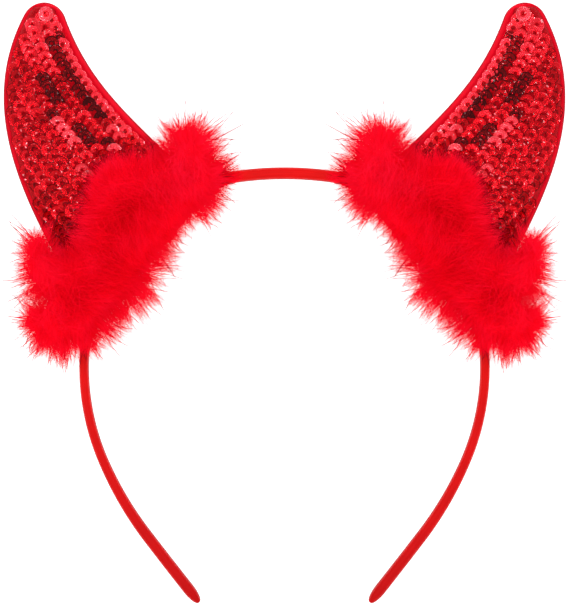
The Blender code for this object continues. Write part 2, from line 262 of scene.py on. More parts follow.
def add_piece(name, points, faces, finish, slot, side=1, marks=None, uv=None):
    """Mesh that rides on the headband, from points and a list of face arrays.

    marks are numbers for each point, and uv is a place in metres for each face corner.
    side -1 mirrors x and turns the faces round.
    """
    points = np.reshape(points, (-1, 3)) * (side, 1.0, 1.0)
    corners = np.concatenate([group[:, ::side].ravel() for group in faces])
    sizes = np.concatenate([np.full(len(group), group.shape[1]) for group in faces])
    mesh = bpy.data.meshes.new(name)
    mesh.vertices.add(len(points))
    mesh.vertices.foreach_set("co", points.astype(np.float32).ravel())
    mesh.loops.add(len(corners))
    mesh.loops.foreach_set("vertex_index", corners.astype(np.int32))
    mesh.polygons.add(len(sizes))
    mesh.polygons.foreach_set("loop_start", (np.cumsum(sizes) - sizes).astype(np.int32))
    for mark, values in (marks or {}).items():
        layer = mesh.attributes.new(mark, "FLOAT", "POINT")
        layer.data.foreach_set("value", np.ravel(values).astype(np.float32))
    if uv is not None:
        layer = mesh.uv_layers.new(name="cloth")
        places = np.concatenate([group[:, ::side].reshape(-1, 2) for group in uv])
        layer.data.foreach_set("uv", places.astype(np.float32).ravel())
    mesh.update(calc_edges=True)
    mesh.validate()
    mesh.shade_smooth()
    mesh.materials.append(finish.material)
    piece = bpy.data.objects.new(name, mesh)
    bpy.context.scene.collection.objects.link(piece)
    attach(piece, "root")
    print(name, "points", len(points), "faces", len(sizes))
    return piece


SIDES = (("right", 1), ("left", -1))


def add_pair(name, points, faces, finish, slot, marks=None, uv=None):
    """The same piece on both sides, as pairs of the side's name and the piece."""
    shape = (points, faces, finish, slot)
    return [(word, add_piece(f"{name}_{word}", *shape, side, marks, uv)) for word, side in SIDES]


# %% [markdown]
# ## The floor
#
# The photograph's ground is plain white. The floor is a large matt sheet just under the
# headband, with a faint glow of its own so that shadows stay weak.

# %% Pale floor
FLOOR_DROP = 0.2 * MM
FLOOR_HALF = 3.0
FLOOR_GLOW = 0.90

floor_finish = Finish("white_ground", 0.9, Base_Color=dye(0.90, 0.90, 0.90))
floor_finish.paint(Emission_Color=dye(1.0, 1.0, 1.0), Emission_Strength=FLOOR_GLOW)
floor_mesh = bpy.data.meshes.new("floor")
floor_corners = [
    (x * FLOOR_HALF, y * FLOOR_HALF, -FLOOR_DROP) for x, y in ((-1, -1), (1, -1), (1, 1), (-1, 1))
]
floor_mesh.from_pydata(floor_corners, [], [(0, 1, 2, 3)])
floor_mesh.materials.append(floor_finish.material)
floor = bpy.data.objects.new("floor", floor_mesh)
bpy.context.scene.collection.objects.link(floor)

# %% [markdown]
# ## The hoop
#
# The hoop is a plastic strip in a tight satin ribbon. Its middle line is a chain of lines
# and arcs, which are the CAD model's. A superellipse is carried along that line: a
# rounded oblong that narrows at the tips.

# %% The band's middle line
GAP = 0.3 * MM
BAND_LENGTH = 388 * MM
BAND_THICKNESS = 4.1 * MM
BAND_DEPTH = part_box("satin_band")[1].z
# run, share of half the band, turn in degrees, share of the thickness at its end
BAND_RUNS = (
    ("crown", 0.084, 8.0, 1.00),
    ("shoulder", 0.080, 41.5, 0.95),
    ("horn_seat", 0.255, 0.0, 0.90),
    ("temple", 0.093, 38.0, 0.80),
    ("upper_leg", 0.185, 25.5, 0.84),
    ("lower_leg", 0.156, 14.5, 0.96),
    ("end_leg", 0.147, 1.0, 0.98),
)
crown_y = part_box("satin_band")[1].y - BAND_THICKNESS / 2


def band_path(distance):
    """Plan place and heading of the middle line at distances from the crown.

    Each run is a line or an arc. On an arc of radius r that turns from heading a to b, x
    grows by r (sin b - sin a) and y by r (cos b - cos a). The left half has negative ones.
    """
    away = np.abs(distance)
    x, y, heading = np.zeros_like(away), np.full_like(away, crown_y), np.zeros_like(away)
    start, turned = 0.0, 0.0
    for _, share, turn, _ in BAND_RUNS:
        length = share * BAND_LENGTH / 2
        bend = math.radians(turn) / length
        step = np.clip(away - start, 0.0, length)
        if bend:
            x += (np.sin(turned + bend * step) - math.sin(turned)) / bend
            y += (np.cos(turned + bend * step) - math.cos(turned)) / bend
        else:
            x += step * math.cos(turned)
            y -= step * math.sin(turned)
        heading += bend * step
        start += length
        turned += math.radians(turn)
    return np.sign(distance) * x, y, np.sign(distance) * heading


def beside_band(distance, outward):
    """Plan points a step outwards from the middle line."""
    x, y, heading = band_path(distance)
    return np.stack((x + outward * np.sin(heading), y + outward * np.cos(heading)), axis=-1)


def band_half(distance):
    """Half the band's thickness, which follows the shares in BAND_RUNS."""
    ends = np.cumsum([0.0] + [row[1] for row in BAND_RUNS]) * BAND_LENGTH / 2
    shares = [BAND_RUNS[0][3]] + [row[3] for row in BAND_RUNS]
    return BAND_THICKNESS / 2 * np.interp(np.abs(distance), ends, shares)


# %% [markdown]
# The ribbon is folded round the strip, and one long edge of it lies over the other on the
# front. That shows as a low step that sways along the hoop. Groups of small puckers run
# across the ribbon.

# %% Satin ribbon round the hoop
BAND_SQUARENESS = 3.2
BAND_TIP_ROUNDING = 6.0 * MM
BAND_STATIONS = 561
BAND_COLUMNS = 48
TIP_STATIONS = 12
TIP_NARROW = 0.15
TIP_SHALLOW = 0.70
RIBBON_STEP = 0.10 * MM
STEP_SWAY = 0.25
STEP_WAVE = 23 * MM
STEP_SHARPNESS = 30.0
PUCKER_HEIGHT = 0.05 * MM
PUCKER_PITCH = 3.4 * MM
PUCKER_GROUP = 7.3 * MM
# shares of the half thickness where the painted edge shade begins and how wide it grows
EDGE_START = 0.84
EDGE_BLEND = 0.12
# strength of the painted edge shade, and of the painted shade towards the tips where the light
# falls off
BAND_EDGE_SHADE = 0.9
TIP_SHADE = 0.45
THREAD_SIZE = 0.22 * MM
SHEEN_STREAK_SIZE = 0.8 * MM
CLOUD_SIZE = 9.0 * MM
SATIN_RELIEF = 0.05 * MM
SATIN_SHADE = 0.80


def satin_finish(name, colour, shade_colour, painted_glow):
    """Satin: fine threads along and across, painted sheen streaks, random clouds, painted edge
    shade.
    """
    cloth = Finish(name, 0.5, Specular_IOR_Level=0.07)
    uv = cloth.node("ShaderNodeUVMap", {"uv_map": "cloth"}, {})
    # Painted sheen: streaks along the threads, mixed with random clouds of the satin's own tone.
    sheen_streaks = cloth.noise(SHEEN_STREAK_SIZE, 3.0, (14.0, 0.5, 1.0), uv)
    clouds = cloth.noise(CLOUD_SIZE)
    tone = cloth.smooth(0.6 * sheen_streaks + 0.4 * clouds, 0.30, 0.72)
    satin = cloth.mix(tone, dye(*(SATIN_SHADE * part for part in colour)), dye(*colour))
    # Painted shade at the edges, from the edge mark.
    edge_shaded = cloth.mix(cloth.mark("edge"), satin, dye(*shade_colour))
    # A faint painted glow of the satin's own red.
    cloth.paint(Base_Color=edge_shaded, Emission_Color=dye(*colour), Emission_Strength=painted_glow)
    threads = cloth.noise(THREAD_SIZE, 1.0, (6.0, 1.0, 1.0), uv)
    cloth.bump(threads + 0.6 * sheen_streaks, SATIN_RELIEF, 0.5)
    return cloth


# The ribbon's darker colour is its painted edge shade, and its last number a painted glow.
ribbon_finish = satin_finish("red_satin_ribbon", (0.75, 0.004, 0.004), (0.20, 0.0, 0.001), 0.04)

half_length = BAND_LENGTH / 2
tip_turn = np.linspace(0.0, math.pi / 2, TIP_STATIONS + 1)[1:]
body = np.linspace(0.0, half_length - BAND_TIP_ROUNDING, BAND_STATIONS // 2)
tip = half_length - BAND_TIP_ROUNDING * (1.0 - np.sin(tip_turn))
right_half = np.concatenate((body, tip))
narrow = np.concatenate((np.ones_like(body), TIP_NARROW + (1 - TIP_NARROW) * np.cos(tip_turn)))
shallow = np.concatenate((np.ones_like(body), TIP_SHALLOW + (1 - TIP_SHALLOW) * np.cos(tip_turn)))
stations = np.concatenate((-right_half[:0:-1], right_half))[:, None]
narrow = np.concatenate((narrow[:0:-1], narrow))[:, None]
shallow = np.concatenate((shallow[:0:-1], shallow))[:, None]

turn = np.linspace(0.0, 2 * math.pi, BAND_COLUMNS, endpoint=False)[None, :]
across, height = squared_round(turn, BAND_SQUARENESS)
front = np.clip(height, 0.0, 1.0)
step_place = STEP_SWAY + STEP_SWAY * np.sin(stations / STEP_WAVE)
ribbon_step = RIBBON_STEP * front / (1 + np.exp((across - step_place) * STEP_SHARPNESS))
pucker = PUCKER_HEIGHT * np.sin(2 * math.pi * stations / PUCKER_PITCH + 3.0 * across)
pucker = pucker * np.sin(stations / PUCKER_GROUP) ** 2 * front
places = beside_band(stations, band_half(stations) * narrow * across)
band_z = BAND_DEPTH / 2 * (1.0 + shallow * height) - RIBBON_STEP * front + ribbon_step + pucker
band_points = with_height(places, np.maximum(band_z, 0.0))

rows, columns = band_points.shape[:2]
row, column = grid_corners(rows, columns, around=True)
girth = np.arange(columns + 1) * 2 * (BAND_THICKNESS + BAND_DEPTH) / columns
band_uv = np.stack((stations.ravel()[row], girth[column]), axis=-1)
# Painted shade: darker along the ribbon's long edges and towards the band's tips.
edge = np.clip((np.abs(across) - EDGE_START) / EDGE_BLEND, 0.0, 1.0) ** 1.3
edge = np.maximum(edge, TIP_SHADE * (np.abs(stations) / half_length) ** 3)
band = add_piece(
    "satin_ribbon_band",
    band_points,
    tube_faces(rows, columns, -1),
    ribbon_finish,
    "band_satin",
    marks={"edge": BAND_EDGE_SHADE * edge},
    uv=[band_uv[:, ::-1], *np.zeros((2, 1, columns, 2))],
)
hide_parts("satin_band")

# %% [markdown]
# ## The stuffed horns
#
# Each horn is sewn from a flat satin back and a front, and filled with fibre. The CAD
# model's outline is two Bezier curves that end in the tip's circle. Here the same outline
# gets fine rows, a rolled edge, and puckers where the seam pulls the satin in. The back
# stays flat, because it rests on the floor.

# %% The horn's outline
HORN_MIDDLE = 57.5 * MM
HORN_BASE = 57.0 * MM
HORN_RISE = 76.2 * MM
HORN_LEAN = 37.2 * MM
HORN_TIP_RADIUS = 7.6 * MM
# edge: side of the base, angle and handle at the base, angle and handle at the tip;
# angles in degrees from the base towards the temple, handles as shares of the rise
HORN_EDGES = {
    "convex": (1.0, 110.0, 0.46, 168.0, 0.54),
    "concave": (-1.0, 99.0, 0.345, 120.0, 0.38),
}


def horn_base(side):
    """Points of the base beside the band: -1 at the convex edge and 1 at the concave one."""
    distance = HORN_MIDDLE - np.asarray(side, dtype=float) * HORN_BASE / 2
    return beside_band(distance, band_half(distance) + GAP)


def polar(degrees):
    """Unit vectors at angles in degrees."""
    turn = np.radians(degrees)
    return np.stack((np.cos(turn), np.sin(turn)), axis=-1)


def horn_edge(edge, rise, arc):
    """Plan points of one edge: a cubic Bezier for rise from 0 to 1, then the tip's arc."""
    side, base_angle, base_handle, tip_angle, tip_handle = HORN_EDGES[edge]
    ends = horn_base(-1.0) - horn_base(1.0)
    along = ends / np.linalg.norm(ends)
    outward = np.array((-along[1], along[0]))
    middle = (horn_base(1.0) + horn_base(-1.0)) / 2
    corner = horn_base(-side) - middle
    start = np.array((corner @ along, corner @ outward))
    joins = {name: row[3] - 90.0 * row[0] for name, row in HORN_EDGES.items()}
    top = sum(joins.values()) / 2
    centre = np.array((-HORN_LEAN, HORN_RISE))
    end = centre + HORN_TIP_RADIUS * polar(joins[edge])
    first = start + base_handle * HORN_RISE * polar(base_angle)
    second = end - tip_handle * HORN_RISE * polar(tip_angle)
    t = rise[:, None]
    bezier = (1 - t) ** 3 * start + 3 * (1 - t) ** 2 * t * first
    bezier = bezier + 3 * (1 - t) * t**2 * second + t**3 * end
    circle = centre + HORN_TIP_RADIUS * polar(joins[edge] + (top - joins[edge]) * arc)
    seat = np.concatenate((bezier, circle))
    return middle + seat[:, :1] * along + seat[:, 1:] * outward


# %% [markdown]
# Rows run from edge to edge. The stuffing's height over the rim is
# puff (1 - |p| ^ 2.4) ^ 0.62, with p from -1 to 1 between the rims, and the puff shrinks
# towards the tip and towards the band.

# %% The horn's front as a grid
HORN_PUFF = 12.0 * MM
HORN_BASE_PUFF = 0.55
HORN_PUFF_RISE = 0.30
HORN_ROUNDNESS = 2.4
HORN_FLANK = 0.62
RIM_THICKNESS = 2.0 * MM
RIM_CONCAVE = 2.8 * MM
RIM_CONVEX = 1.3 * MM
RIM_TIP = 1.5 * MM
SEQUIN_CLOTH = 1.2 * MM
HORN_ROWS = 90
DOME_ROWS = 18
RIM_ROWS = 12
RIM_COLUMNS = 8
STUFFED_COLUMNS = 44
RIM_ARC_END = 0.99
RIM_MOST = 0.3
PUFF_TAPER = 0.7


def horn_front():
    """The front's points, each row's puff, and the distance of each point from the edge."""
    rise = np.linspace(0.0, 1.0, HORN_ROWS + 1)
    joins = [row[3] - 90.0 * row[0] for row in HORN_EDGES.values()]
    quarter = math.radians(abs(joins[1] - joins[0]) / 2)
    rim = RIM_TIP + SEQUIN_CLOTH + GAP
    dome_end = 1.0 - math.acos(1.0 - rim / HORN_TIP_RADIUS) / quarter
    climb = np.arange(1, DOME_ROWS + 1) / DOME_ROWS
    domes = dome_end * np.sin(math.pi / 2 * climb)
    rim_climb = np.sin(math.pi / 2 * np.arange(1, RIM_ROWS + 1) / RIM_ROWS)
    arc = np.concatenate((domes, dome_end + (RIM_ARC_END - dome_end) * rim_climb))
    left = horn_edge("convex", rise, arc)
    right = horn_edge("concave", rise, arc)
    width = np.linalg.norm(left - right, axis=1)
    ramp = np.clip(rise / HORN_PUFF_RISE, 0.0, 1.0)
    base = HORN_BASE_PUFF + (1 - HORN_BASE_PUFF) * ramp * ramp * (3 - 2 * ramp)
    fade = np.concatenate((base, np.sqrt(1.0 - climb**2), np.zeros(RIM_ROWS)))
    puff = HORN_PUFF * fade * (np.minimum(width, width[0]) / width[0]) ** PUFF_TAPER
    convex_rim = np.minimum(RIM_MOST, (RIM_CONVEX + SEQUIN_CLOTH + GAP) / width)[:, None]
    concave_rim = np.minimum(RIM_MOST, (RIM_CONCAVE + SEQUIN_CLOTH + GAP) / width)[:, None]
    roll = (1 - np.cos(np.linspace(0.0, math.pi / 2, RIM_COLUMNS, endpoint=False)))[None, :]
    p = -np.cos(np.linspace(0.0, math.pi, STUFFED_COLUMNS + 1))[None, :]
    stuffed = convex_rim + (1 - convex_rim - concave_rim) * (p + 1) / 2
    share = np.concatenate((roll * convex_rim, stuffed, 1 - roll[:, ::-1] * concave_rim), axis=1)
    dome = puff[:, None] * np.maximum(0.0, 1 - np.abs(p) ** HORN_ROUNDNESS) ** HORN_FLANK
    flat = np.zeros((len(width), RIM_COLUMNS))
    lift = np.concatenate((flat, dome, flat), axis=1)
    bend = np.concatenate(((1 - rise) ** 2, np.zeros(DOME_ROWS + RIM_ROWS)))[:, None, None]
    chord = (1 - share)[..., None] * horn_base(-1.0) + share[..., None] * horn_base(1.0)
    plan = (1 - share)[..., None] * left[:, None] + share[..., None] * right[:, None]
    plan = plan + bend * (horn_base(2 * share - 1) - chord)
    from_tip = np.linalg.norm((left + right) / 2 - left[-1], axis=1)[:, None]
    from_edge = np.minimum(np.minimum(share, 1 - share) * width[:, None], from_tip)
    return plan, lift, share, from_edge


horn_plan, horn_lift, horn_share, from_edge = horn_front()
print("horn grid:", horn_plan.shape)

# %% [markdown]
# The satin rim is a soft roll about two millimetres thick. Its outer edge turns down to the
# back in a half circle, and it sinks a little where the sequin cloth is sewn on. Satin that
# is gathered into a seam puckers, so small waves run across the rim.

# %% Satin cover of the horns
ROLL_RADIUS = RIM_THICKNESS / 2
RIM_CROWN = 0.55 * MM
RIM_PUCKER = 0.10 * MM
RIM_PUCKER_PITCH = 4.3 * MM
BACK_COLUMNS = 10
BACK_INSET = 0.45 * MM
# Painted shade: a thin dark line where the cover's edge turns down, and a little over the back that
# lies on the floor.
EDGE_SHADE_WIDTH = 0.55 * MM
EDGE_SHADE_GAIN = 1.35
BACK_SHADE = 0.15
# the cloth's own places round the cover: its front's width, measured along one row
CLOTH_WIDTH = 40 * MM
CLOTH_ROW = 30

inside = np.clip(from_edge / ROLL_RADIUS, 0.0, 1.0)
edge_roll = ROLL_RADIUS * (1 + np.sqrt(np.maximum(0.0, 1 - (1 - inside) ** 2)))
travel = np.linalg.norm(np.diff(horn_plan[:, -1], axis=0), axis=1)
travel = np.concatenate(([0.0], np.cumsum(travel)))[:, None]
rim_width = np.where(horn_share > 0.5, RIM_CONCAVE, RIM_CONVEX)
rim_arch = np.sin(math.pi * np.clip(from_edge / rim_width, 0.0, 1.0))
waves = np.sin(2 * math.pi * travel / RIM_PUCKER_PITCH) + np.sin(travel / (1.7 * MM))
on_rim = np.clip(1.0 - horn_lift / MM, 0.0, 1.0)
rim_relief = on_rim * rim_arch * (RIM_CROWN * rim_width / RIM_CONCAVE + RIM_PUCKER * waves)
front_z = edge_roll + horn_lift + rim_relief
cover_front = with_height(horn_plan, front_z)

back_share = np.linspace(0.0, 1.0, BACK_COLUMNS)[None, :, None]
corner_left, corner_right = horn_plan[:, :1], horn_plan[:, -1:]
chord = corner_right - corner_left
span = np.linalg.norm(chord, axis=-1, keepdims=True)
inset = np.minimum(BACK_INSET, 0.2 * span) * (chord / span)
back_plan = (1 - back_share) * (corner_right - inset) + back_share * (corner_left + inset)
cover_back = with_height(back_plan, np.zeros(back_plan.shape[:2]))
cover = np.concatenate((cover_front, cover_back), axis=1)

rows, columns = cover.shape[:2]
row, column = grid_corners(rows, columns, around=True)
front_girth = horn_share[CLOTH_ROW] * CLOTH_WIDTH
back_girth = CLOTH_WIDTH * (1.5 + back_share.ravel() / 2)
girth = np.concatenate((front_girth, back_girth, [2.5 * CLOTH_WIDTH]))
cover_uv = np.stack((travel.ravel()[row], girth[column]), axis=-1)
# The edge mark carries that painted shade.
edge_shade = np.clip(EDGE_SHADE_GAIN - from_edge / EDGE_SHADE_WIDTH, 0.0, 1.0)
cover_shade = np.concatenate((edge_shade, np.full(back_plan.shape[:2], BACK_SHADE)), axis=1)

# The cover's darker colour is its painted edge shade, and its last number a painted glow.
horn_finish = satin_finish("red_satin_cover", (0.95, 0.002, 0.020), (0.26, 0.0, 0.008), 0.06)
covers = add_pair(
    "horn_cover",
    cover,
    tube_faces(rows, columns),
    horn_finish,
    "horn_satin",
    marks={"edge": cover_shade},
    uv=[cover_uv, *np.zeros((2, 1, columns, 2))],
)
for side_name, cover_piece in covers:
    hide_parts(f"horn_pad_{side_name}")

# %% [markdown]
# ## The sequin cloth
#
# Sequins are sewn in rows on a thin red knit, which is stretched over the filling between
# the rims. The knit is a copy of the front's grid, raised by a clearance and given a wall.

# %% Knit ground under the sequins
SEQUIN_START = 4.0 * MM
KNIT_LIFT = 0.55 * MM
KNIT_WALL = 0.35 * MM

knit = Finish("red_knit_ground", 0.8, Specular_IOR_Level=0.05)
loops = knit.noise(0.5 * MM, 2.0)
knit_tone = knit.smooth(loops, 0.35, 0.65)
knit.paint(Base_Color=knit.mix(knit_tone, dye(0.26, 0.0, 0.002), dye(0.50, 0.0, 0.006)))
knit.bump(loops, 0.15 * MM, 0.8)

first_row = int(np.argmax(travel.ravel() > SEQUIN_START))
last_row = HORN_ROWS + DOME_ROWS + 1
stuffed = slice(RIM_COLUMNS, RIM_COLUMNS + STUFFED_COLUMNS + 1)
cloth_plan = horn_plan[first_row:last_row, stuffed]
cloth_z = RIM_THICKNESS + horn_lift[first_row:last_row, stuffed]
cloth_points = with_height(cloth_plan, cloth_z)
along_rows = np.gradient(cloth_points, axis=0)
along_columns = np.gradient(cloth_points, axis=1)
cloth_normals = np.cross(along_columns, along_rows)
cloth_normals /= np.linalg.norm(cloth_normals, axis=-1, keepdims=True) + 1e-12
cloth_normals *= np.sign(cloth_normals[..., 2:] + 1e-9)
knit_points = cloth_points + cloth_normals * (KNIT_LIFT + KNIT_WALL)
knit_faces = [grid_faces(*knit_points.shape[:2])]
for side_name, knit_piece in add_pair("sequin_knit", knit_points, knit_faces, knit, "sequin_cloth"):
    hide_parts(f"sequin_front_{side_name}")
    wall = knit_piece.modifiers.new("wall", "SOLIDIFY")
    wall.thickness = KNIT_WALL
    wall.offset = -1.0

# %% [markdown]
# ## The sequins
#
# The rows keep their distance from the concave edge, so each is that edge moved sideways
# over the knit. Along a row every sequin lies over the foot of the one above it, and each
# row lies over the next one outwards, like tiles. A sequin leans on two others, which tilts
# it both ways. One more is sewn on the tip.

# %% Where the sequins are sewn
SEQUIN_RADIUS = 2.6 * MM
SEQUIN_HOLE = 0.60 * MM
SEQUIN_PITCH = 3.05 * MM
ROW_PITCH = 4.1 * MM
FIRST_ROW = 1.7 * MM
SECOND_ROW = 4.6 * MM
# room left at the convex rim, at a row's upper end and at the horn's cut edge
EDGE_KEEP = 1.3 * MM
ROW_END_KEEP = 1.2 * MM
EDGE_ROOM = 3.4 * MM
LAST_ROW_BEND = 2.4 * MM
# every row has a sequin on this line, and none is sewn near the band
LEVEL_LINE = 45.0 * MM
BARE_FOOT = 9.0 * MM
TIP_SEQUIN = np.array((80.8, 98.2, 8.6)) * MM
random = np.random.default_rng(7)

# across the knit from the concave rim; the flank counts only on the convex half
knit_grid, normal_grid = knit_points[:, ::-1], cloth_normals[:, ::-1]
step = np.diff(knit_grid, axis=1)
step[:, : STUFFED_COLUMNS // 2, 2] = 0.0
over = np.cumsum(np.linalg.norm(step, axis=2), axis=1)
over = np.concatenate((np.zeros((len(over), 1)), over), axis=1)
to_convex = np.linalg.norm(knit_grid[..., :2] - knit_grid[:, -1:, :2], axis=2)
last_over = np.array([np.interp(-EDGE_KEEP, -to_convex[i], over[i]) for i in range(len(over))])


def sewing_line(offset):
    """Points and normals of the knit at a distance over it from the concave rim."""
    i = np.arange(len(over))
    fits = last_over > offset - LAST_ROW_BEND
    offset = np.minimum(offset, last_over)[:, None]
    low = np.clip(np.sum(over < offset, axis=1) - 1, 0, over.shape[1] - 2)
    share = (offset - over[i, low][:, None]) / (over[i, low + 1] - over[i, low])[:, None]
    pairs = ((grid[i, low], grid[i, low + 1]) for grid in (knit_grid, normal_grid))
    return [(near * (1 - share) + far * share)[fits] for near, far in pairs]


def sequin_rows():
    """Points, normals and directions up the row (n, 3 each), row numbers and distances."""
    found = []
    for number in range(int(over[:, -1].max() / ROW_PITCH) + 1):
        offset = FIRST_ROW if number == 0 else SECOND_ROW + (number - 1) * ROW_PITCH
        line, normal = sewing_line(offset)
        if len(line) < 3:
            break
        steps = np.linalg.norm(np.diff(line, axis=0), axis=1)
        far = np.concatenate(([0.0], np.cumsum(steps)))
        level = np.interp(LEVEL_LINE, line[:, 1], far)
        stops = np.arange(level % SEQUIN_PITCH, far[-1] - ROW_END_KEEP, SEQUIN_PITCH)
        values = np.concatenate((line, normal, np.gradient(line, axis=0)), axis=1)
        at_stops = [np.interp(stops, far, column) for column in values.T]
        found.append(np.stack((*at_stops, np.full_like(stops, number), stops), axis=1))
    return np.concatenate(found)


sewn = sequin_rows()
seat = horn_base(0.0)
base_run = horn_base(-1.0) - horn_base(1.0)
outwards = np.array((-base_run[1], base_run[0]))
outwards /= np.linalg.norm(outwards)
sewn = sewn[(sewn[:, :2] - seat) @ outwards > BARE_FOOT]
tip_sequin = (TIP_SEQUIN, (0.0, 0.0, 1.0), (-0.9, 1.0, 0.0), (-1.0, 0.0))
sewn = np.concatenate((sewn, np.concatenate(tip_sequin)[None]))
cut_edge = np.concatenate((horn_plan[:, 0], horn_plan[:, -1]))
from_cut = np.linalg.norm(sewn[:, None, :2] - cut_edge, axis=2).min(axis=1)
sewn = sewn[from_cut > EDGE_ROOM]
sewn_row, sewn_stop = sewn[:, 9], sewn[:, 10]
print("sequins on a horn:", len(sewn), "in rows:", int(sewn_row.max()) + 1)

# %% [markdown]
# The photograph's light falls so that whole stretches of a row look pale and others look
# nearly black. Those stretches are listed by row and by distance along it. All others are
# a plain red, each a little different.

# %% Shade of each sequin
# row, from and to in millimetres along it from the band, painted shade and painted reflection from
# 0 near black to 1 pale
SHADED = (
    (-1, -1.0, 1.0, 0.74),
    (0, 0.0, 100.0, 0.64),
    (1, 58.0, 100.0, 0.55),
    (2, 58.0, 100.0, 0.55),
    (3, 64.0, 100.0, 0.50),
    (0, 66.0, 69.0, 0.04),
    (1, 35.0, 44.5, 0.03),
    (1, 44.5, 68.5, 0.07),
    (2, 50.0, 57.0, 0.24),
    (2, 28.0, 31.5, 0.05),
    (3, 50.0, 62.0, 0.04),
    (4, 47.0, 51.5, 0.05),
    (3, 32.0, 41.0, 0.06),
    (4, 35.0, 47.0, 0.74),
    (5, 26.0, 32.0, 0.78),
    (1, 26.0, 33.0, 0.70),
    (2, 23.0, 28.0, 0.74),
    (9, 16.5, 25.5, 0.22),
    (10, 16.5, 22.5, 0.25),
    (11, 16.0, 19.5, 0.72),
)
# Every other sequin gets a plain painted shade, each a little different.
PLAIN_SHADE = 0.37
SHADE_SCATTER = 0.07
LISTED_SCATTER = 0.3
shade = PLAIN_SHADE + SHADE_SCATTER * random.standard_normal(len(sewn))
for number, start, end, value in SHADED:
    here = (sewn_row == number) & (sewn_stop > start * MM) & (sewn_stop < end * MM)
    shade = np.where(here, value + LISTED_SCATTER * (shade - PLAIN_SHADE), shade)

# %% [markdown]
# One sequin is a shallow cup with a hole: four rings of a dozen points. All of them are made
# at once, by turning that cup into each sequin's own axes, which come from the knit where it
# is sewn. The first row and the tip's sequin stand higher, over the steep edge of the knit.

# %% The sequins as one mesh on each horn
CUP_RADII = np.array((SEQUIN_HOLE, 1.25 * MM, 2.20 * MM, SEQUIN_RADIUS))
CUP_HEIGHTS = np.array((0.0, 0.03, 0.12, 0.24)) * MM
CUP_POINTS = 12
SEQUIN_LIFT = 0.50 * MM
ROW_TILT = 9.0
SIDE_TILT = 6.0
TILT_SCATTER = 4.0
# how far the first row, the second and all others are laid flat, from 0 for not at all
FLATTEN = np.array((1.6, 0.5, 1.0))
FIRST_LIFT = 1.1 * MM
# the first row's sequins are smaller, so that their holes stay in sight
FIRST_SIZE = 0.90


def turned(first, second, degrees):
    """Two axes turned towards each other in their plane by angles in degrees."""
    angle = np.radians(degrees)[:, None]
    return (
        first * np.cos(angle) + second * np.sin(angle),
        second * np.cos(angle) - first * np.sin(angle),
    )


def unit(vectors):
    """Vectors of length 1 along the given ones."""
    return vectors / np.linalg.norm(vectors, axis=-1, keepdims=True)


def sequin_cups():
    """Points (sequin, ring, corner, 3): each ring's circle in the sequin's own tilted axes."""
    feet, normal, up_row = sewn[:, 0:3], sewn[:, 3:6], sewn[:, 6:9]
    flatten = FLATTEN[np.clip(sewn_row, 0, 2).astype(int)][:, None]
    normal = unit(unit(normal) + flatten * np.array((0.0, 0.0, 1.0)))
    up_row = unit(up_row - np.sum(up_row * normal, axis=1, keepdims=True) * normal)
    out_row = np.cross(normal, up_row)
    scatter = TILT_SCATTER * random.standard_normal((2, len(sewn)))
    up_row, normal = turned(up_row, normal, ROW_TILT + scatter[0])
    out_row, normal = turned(out_row, normal, SIDE_TILT + scatter[1])
    lift = SEQUIN_LIFT + np.where(sewn_row < 1, FIRST_LIFT, 0.0)[:, None]
    middle = feet + normal * lift
    start = random.uniform(0.0, 2 * math.pi, len(sewn))[:, None]
    angle = start + np.linspace(0.0, 2 * math.pi, CUP_POINTS, endpoint=False)[None, :]
    ways = np.cos(angle)[..., None] * up_row[:, None] + np.sin(angle)[..., None] * out_row[:, None]
    lift = CUP_HEIGHTS[None, :, None, None] * normal[:, None, None]
    radii = np.where(sewn_row == 0, FIRST_SIZE, 1.0)[:, None] * CUP_RADII
    return middle[:, None, None] + radii[..., None, None] * ways[:, None] + lift


cups = sequin_cups()
ring_faces = grid_faces(len(CUP_RADII), CUP_POINTS, around=True)
cup_size = len(CUP_RADII) * CUP_POINTS
cup_faces = (np.arange(len(sewn))[:, None, None] * cup_size + ring_faces[None]).reshape(-1, 4)

# %% [markdown]
# Sequin film is a thin plastic with metal on it, so it mirrors in its own colour. Its colour
# also carries painted shade and painted reflection, from a mark. The hole's edge has a
# painted shadow, and the cut edge a painted shadow or a painted highlight. Dents in the film
# break up its colour with painted reflection, less so on pale and dark sequins, and a few
# small dots are painted glints, nearly as bright as a mirrored lamp.

# %% Sequin film
# painted shadow and painted highlight at the cut edge, and painted shadow at the hole for the first
# row and for the others
EDGE_SHADOW = -0.30
EDGE_HIGHLIGHT = 0.16
HOLE_SHADOWS = (-0.55, -0.25)
# shares of sequins with a painted shadow at the cut edge, in the same order
EDGE_SHADOW_SHARES = (0.1, 0.7)
CALM_GAIN = 3.5
CALM_MOST = 0.85
DENT_SIZE = 0.7 * MM
# how much the dents mottle the colour with painted reflection
DENT_REFLECTION_GAIN = 0.7
DENT_RELIEF = 0.35 * MM
# small painted glints
PAINTED_GLINT_SIZE = 1.0 * MM
PAINTED_GLINT_RANGE = (0.72, 0.79)
PAINTED_GLINT_GAIN = 0.60

sequin = Finish("red_sequin_film", 0.18, Metallic=0.85, Specular_IOR_Level=0.1)
sequin.paint(Coat_Weight=0.15, Coat_Roughness=0.08)
dents = sequin.noise(DENT_SIZE, 3.0)
painted_glints = sequin.smooth(sequin.noise(PAINTED_GLINT_SIZE, 0.0), *PAINTED_GLINT_RANGE)
# Painted shade and painted reflection: the shade mark, mottled by the dents, plus painted glints.
film = sequin.mark("shade") + DENT_REFLECTION_GAIN * (dents - 0.5) * (1.0 - sequin.mark("calm"))
film = film + PAINTED_GLINT_GAIN * painted_glints
